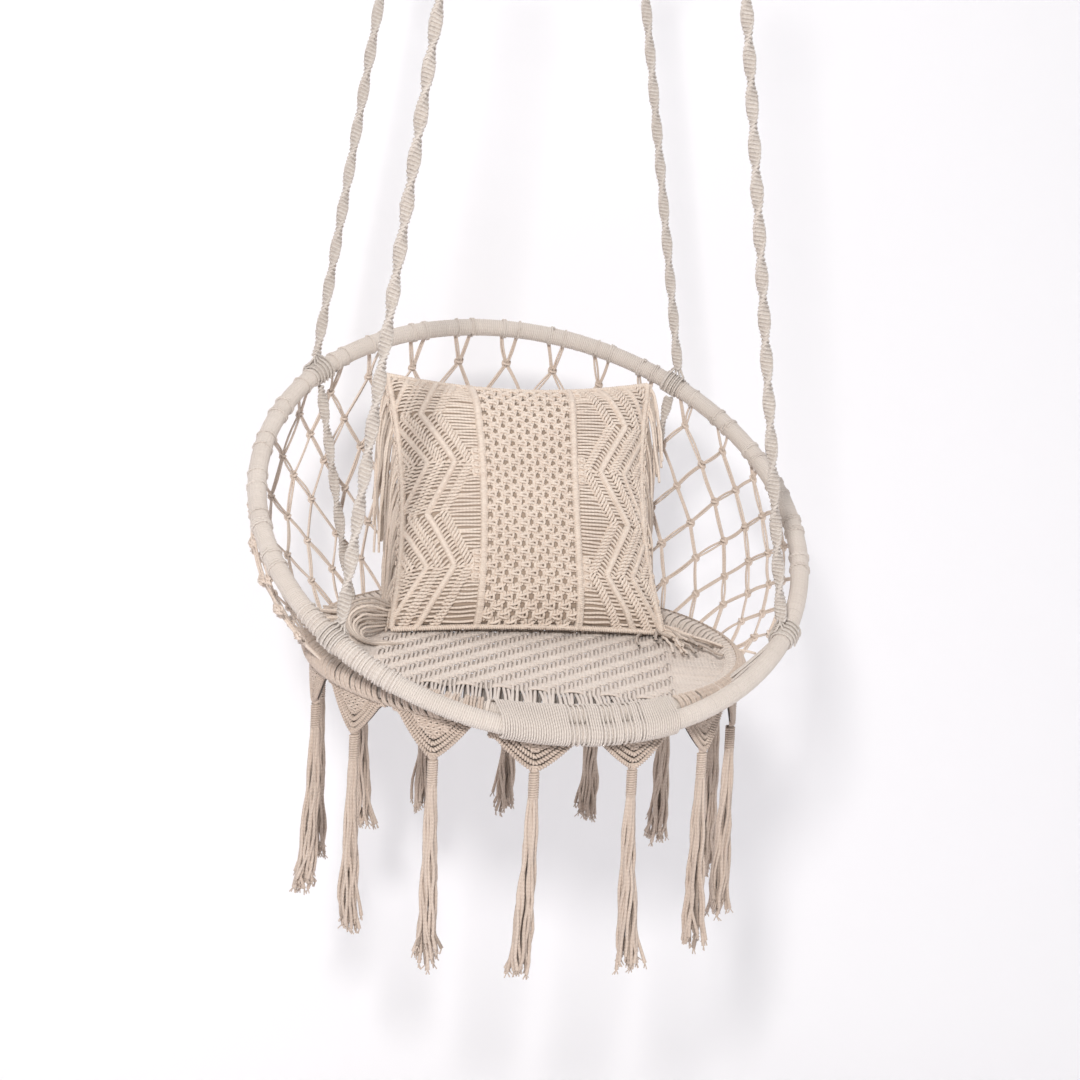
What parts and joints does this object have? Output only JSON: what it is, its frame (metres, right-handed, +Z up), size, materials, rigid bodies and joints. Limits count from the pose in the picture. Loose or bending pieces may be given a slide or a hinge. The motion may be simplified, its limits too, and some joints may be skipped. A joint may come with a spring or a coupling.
{
  "type": "hanging hammock chair",
  "caption": "Round macrame chair hung on four ropes: a cord-wound back hoop and seat hoop joined by a knotted net, a woven seat, a fringe of leaves and tassels, and a loose pillow.",
  "frame": {"origin": "middle of the four hanging rings", "axes": "+Z up, the sitter faces -Y, +X is right as seen from the front"},
  "size_m": [0.8034, 0.6842, 1.4811],
  "materials": {
    "cream_cord": "matte cotton cord",
    "shaded_cord": "matte cotton cord",
    "pillow_cord": "matte knotted cotton",
    "lining_cloth": "plain cotton cloth",
    "steel": "zinc-plated steel"
  },
  "bodies": {
    "hangers": {"hanging_ring_back_left": "steel", "hanging_ring_back_right": "steel", "hanging_ring_front_left": "steel", "hanging_ring_front_right": "steel"},
    "back_ropes": {"rope_back_left": "cream_cord", "rope_back_right": "cream_cord"},
    "front_ropes": {"rope_front_left": "cream_cord", "rope_front_right": "cream_cord"},
    "chair": {"back_hoop_tube": "steel", "back_hoop_wrap": "cream_cord", "seat_hoop_tube": "steel", "seat_hoop_wrap": "cream_cord", "rope_tie_back_left": "cream_cord", "rope_tie_back_right": "cream_cord", "rope_tie_front_left": "cream_cord", "rope_tie_front_right": "cream_cord", "stay_back_left": "shaded_cord", "stay_back_right": "shaded_cord", "stay_front_left": "shaded_cord", "stay_front_right": "shaded_cord", "front_lashing": "cream_cord", "knotted_net": "shaded_cord", "seat_weave": "cream_cord", "fringe_leaf_01": "cream_cord", "fringe_leaf_02": "cream_cord", "fringe_leaf_03": "cream_cord", "fringe_leaf_04": "cream_cord", "fringe_leaf_05": "cream_cord", "fringe_leaf_06": "cream_cord", "fringe_leaf_07": "cream_cord", "fringe_leaf_08": "cream_cord", "fringe_leaf_09": "cream_cord", "fringe_leaf_10": "cream_cord", "fringe_leaf_11": "cream_cord", "fringe_leaf_12": "cream_cord", "fringe_leaf_13": "cream_cord", "fringe_leaf_14": "cream_cord"},
    "pillow": {"pillow_insert": "lining_cloth", "pillow_front_panel": "pillow_cord", "pillow_back_cover": "lining_cloth", "pillow_fringe_left": "pillow_cord", "pillow_fringe_right": "pillow_cord"},
    "tassel_01": {"tassel_01": "cream_cord"},
    "tassel_02": {"tassel_02": "cream_cord"},
    "tassel_03": {"tassel_03": "cream_cord"},
    "tassel_04": {"tassel_04": "cream_cord"},
    "tassel_05": {"tassel_05": "cream_cord"},
    "tassel_06": {"tassel_06": "cream_cord"},
    "tassel_07": {"tassel_07": "cream_cord"},
    "tassel_08": {"tassel_08": "cream_cord"},
    "tassel_09": {"tassel_09": "cream_cord"},
    "tassel_10": {"tassel_10": "cream_cord"},
    "tassel_11": {"tassel_11": "cream_cord"},
    "tassel_12": {"tassel_12": "cream_cord"},
    "tassel_13": {"tassel_13": "cream_cord"},
    "tassel_14": {"tassel_14": "cream_cord"}
  },
  "joints": [
    {"name": "swing", "type": "hinge", "parent": "hangers", "child": "back_ropes", "pos_m": [0, 0.19283, -0.02452], "axis": [1, 0, 0], "range_deg": [-12, 12]},
    {"name": "front_rope_swing", "type": "hinge", "parent": "hangers", "child": "front_ropes", "pos_m": [0, -0.19283, -0.02452], "axis": [1, 0, 0], "range_deg": [-12, 12], "deforming": ["rope_front_left", "rope_front_right"]},
    {"name": "chair_level", "type": "hinge", "parent": "back_ropes", "child": "chair", "pos_m": [0, 0.19283, -0.70328], "axis": [1, 0, 0], "range_deg": [-12, 12], "deforming": ["rope_back_left", "rope_back_right"]},
    {"name": "pillow_lift", "type": "slide", "parent": "chair", "child": "pillow", "axis": [0, -0.5, 0.866], "range_m": [0, 0.2]},
    {"name": "tassel_01_swing", "type": "hinge", "parent": "chair", "child": "tassel_01", "pos_m": [0.29811, -0.00056, -1.16179], "axis": [0, 1, 0], "range_deg": [-25, 25]},
    {"name": "tassel_02_swing", "type": "hinge", "parent": "chair", "child": "tassel_02", "pos_m": [0.26859, 0.12807, -1.14827], "axis": [-0.4339, 0.901, 0], "range_deg": [-25, 25]},
    {"name": "tassel_03_swing", "type": "hinge", "parent": "chair", "child": "tassel_03", "pos_m": [0.18587, 0.23123, -1.13743], "axis": [-0.7818, 0.6235, 0], "range_deg": [-25, 25]},
    {"name": "tassel_04_swing", "type": "hinge", "parent": "chair", "child": "tassel_04", "pos_m": [0.06634, 0.28848, -1.13141], "axis": [-0.9749, 0.2225, 0], "range_deg": [-25, 25]},
    {"name": "tassel_05_swing", "type": "hinge", "parent": "chair", "child": "tassel_05", "pos_m": [-0.06634, 0.28848, -1.13141], "axis": [-0.9749, -0.2225, 0], "range_deg": [-25, 25]},
    {"name": "tassel_06_swing", "type": "hinge", "parent": "chair", "child": "tassel_06", "pos_m": [-0.18587, 0.23123, -1.13743], "axis": [-0.7818, -0.6235, 0], "range_deg": [-25, 25]},
    {"name": "tassel_07_swing", "type": "hinge", "parent": "chair", "child": "tassel_07", "pos_m": [-0.26859, 0.12807, -1.14827], "axis": [-0.4339, -0.901, 0], "range_deg": [-25, 25]},
    {"name": "tassel_08_swing", "type": "hinge", "parent": "chair", "child": "tassel_08", "pos_m": [-0.29811, -0.00056, -1.16179], "axis": [0, -1, 0], "range_deg": [-25, 25]},
    {"name": "tassel_09_swing", "type": "hinge", "parent": "chair", "child": "tassel_09", "pos_m": [-0.26859, -0.1292, -1.17531], "axis": [0.4339, -0.901, 0], "range_deg": [-25, 25]},
    {"name": "tassel_10_swing", "type": "hinge", "parent": "chair", "child": "tassel_10", "pos_m": [-0.18587, -0.23236, -1.18615], "axis": [0.7818, -0.6235, 0], "range_deg": [-25, 25]},
    {"name": "tassel_11_swing", "type": "hinge", "parent": "chair", "child": "tassel_11", "pos_m": [-0.06634, -0.28961, -1.19217], "axis": [0.9749, -0.2225, 0], "range_deg": [-25, 25]},
    {"name": "tassel_12_swing", "type": "hinge", "parent": "chair", "child": "tassel_12", "pos_m": [0.06634, -0.28961, -1.19217], "axis": [0.9749, 0.2225, 0], "range_deg": [-25, 25]},
    {"name": "tassel_13_swing", "type": "hinge", "parent": "chair", "child": "tassel_13", "pos_m": [0.18587, -0.23236, -1.18615], "axis": [0.7818, 0.6235, 0], "range_deg": [-25, 25]},
    {"name": "tassel_14_swing", "type": "hinge", "parent": "chair", "child": "tassel_14", "pos_m": [0.26859, -0.1292, -1.17531], "axis": [0.4339, 0.901, 0], "range_deg": [-25, 25]}
  ],
  "couplings": [
    {"joint": "front_rope_swing", "follows": "swing", "ratio": 0.6772},
    {"joint": "chair_level", "follows": "swing", "ratio": -1}
  ]
}
